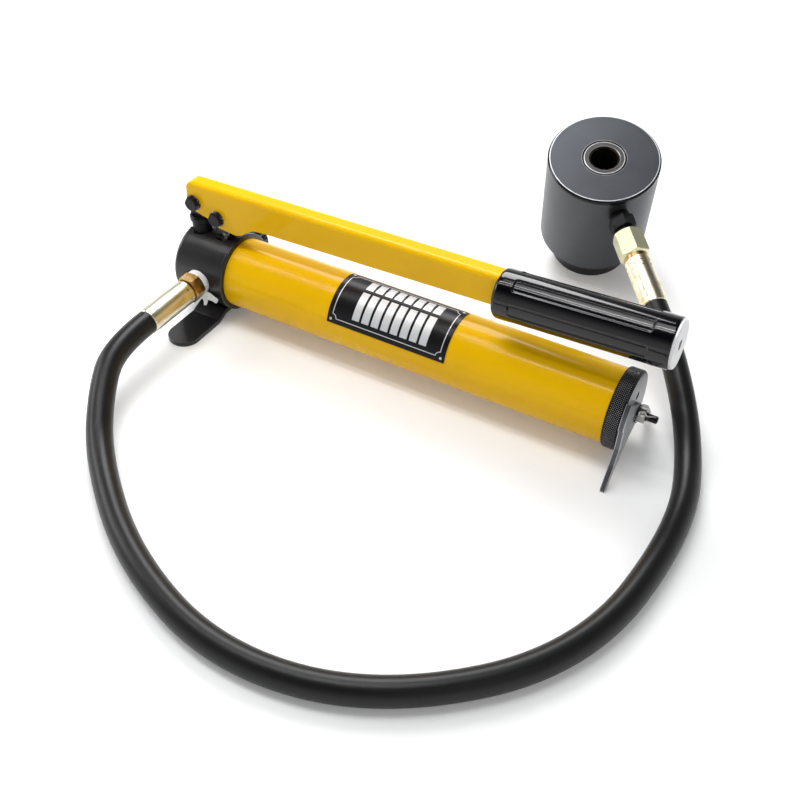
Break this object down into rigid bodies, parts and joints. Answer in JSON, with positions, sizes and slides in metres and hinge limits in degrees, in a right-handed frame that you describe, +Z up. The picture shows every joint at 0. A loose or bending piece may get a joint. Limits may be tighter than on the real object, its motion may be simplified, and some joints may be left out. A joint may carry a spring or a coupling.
{
  "type": "hydraulic hole punch",
  "caption": "Hand pump with lever and feet, joined by a hose to a round punch head with a threaded pull-down piston for knocking holes in sheet metal.",
  "frame": {"origin": "on the floor, at the middle of the pump and punch head seen from above, hose left out", "axes": "+X along the pump from its head to its end cap, +Y away from the outlet and towards the punch head, +Z up"},
  "size_m": [0.3571, 0.4421, 0.1086],
  "materials": {
    "black_paint": "satin black paint over cast iron and steel",
    "yellow_paint": "glossy yellow powder coat",
    "cap_aluminium": "black anodised knurled rim with a plain machined face",
    "seal_rubber": "matt black nitrile rubber",
    "dark_steel": "blackened steel",
    "bright_steel": "machined and ground steel",
    "plate_steel": "satin grey zinc on steel plate",
    "black_oxide": "satin black oxide on machined steel",
    "label_aluminium": "thin printed black plate with silver lines",
    "white_tape": "white thread tape, a few loose ends",
    "yellow_zinc": "yellow passivated zinc on steel, given as brass for its colour",
    "hose_rubber": "matt black hose cover",
    "black_plastic": "glossy black moulding",
    "disc_plastic": "pale silver disc"
  },
  "bodies": {
    "pump_and_head": {"pump_head": "black_paint", "reservoir_tube": "yellow_paint", "end_cap": "cap_aluminium", "tube_seals": "seal_rubber", "tie_rod": "dark_steel", "tie_washer": "bright_steel", "tie_nut": "dark_steel", "rear_foot": "plate_steel", "front_foot": "black_paint", "foot_screws": "dark_steel", "fulcrum_post": "black_oxide", "gland_nut": "bright_steel", "plunger_packing": "seal_rubber", "suction_ball": "bright_steel", "release_ball": "bright_steel", "label_plate": "label_aluminium", "thread_tape": "white_tape", "hose_stem_pump": "yellow_zinc", "hose_ferrule_pump": "yellow_zinc", "hose": "hose_rubber", "hose_ferrule_punch": "yellow_zinc", "swivel_nut": "yellow_zinc", "port_adapter": "black_oxide", "punch_cylinder": "black_oxide", "punch_base": "black_oxide", "rod_seal": "seal_rubber", "return_spring": "dark_steel"},
    "lever": {"handle_lever": "yellow_paint", "handle_grip": "black_plastic", "grip_end_disc": "disc_plastic", "pivot_bolts": "dark_steel", "pivot_washers": "dark_steel", "pivot_nuts": "dark_steel"},
    "pump_plunger": {"plunger": "bright_steel"},
    "release_valve": {"release_knob": "black_plastic", "release_spindle": "bright_steel"},
    "piston": {"punch_piston": "bright_steel", "piston_seal": "seal_rubber"}
  },
  "joints": [
    {"name": "lever_lift", "type": "hinge", "parent": "pump_and_head", "child": "lever", "pos_m": [-0.152, -0.0738, 0.0749], "axis": [0, -1, 0], "range_deg": [0, 42]},
    {"name": "plunger_stroke", "type": "slide", "parent": "pump_and_head", "child": "pump_plunger", "axis": [0, 0, 1], "range_m": [-0.0002, 0.0134]},
    {"name": "release_turn", "type": "hinge", "parent": "pump_and_head", "child": "release_valve", "pos_m": [-0.1407, -0.0438, 0.0296], "axis": [0, 1, 0], "range_deg": [0, 180]},
    {"name": "piston_pull", "type": "slide", "parent": "pump_and_head", "child": "piston", "axis": [0.1089, -0.3467, 0.9316], "range_m": [-0.022, 0], "stiffness_N_per_m": 3000, "springref_m": 0.02, "deforming": ["return_spring"]}
  ],
  "couplings": [
    {"joint": "plunger_stroke", "follows": "lever_lift", "m_per_rad": 0.0179}
  ]
}
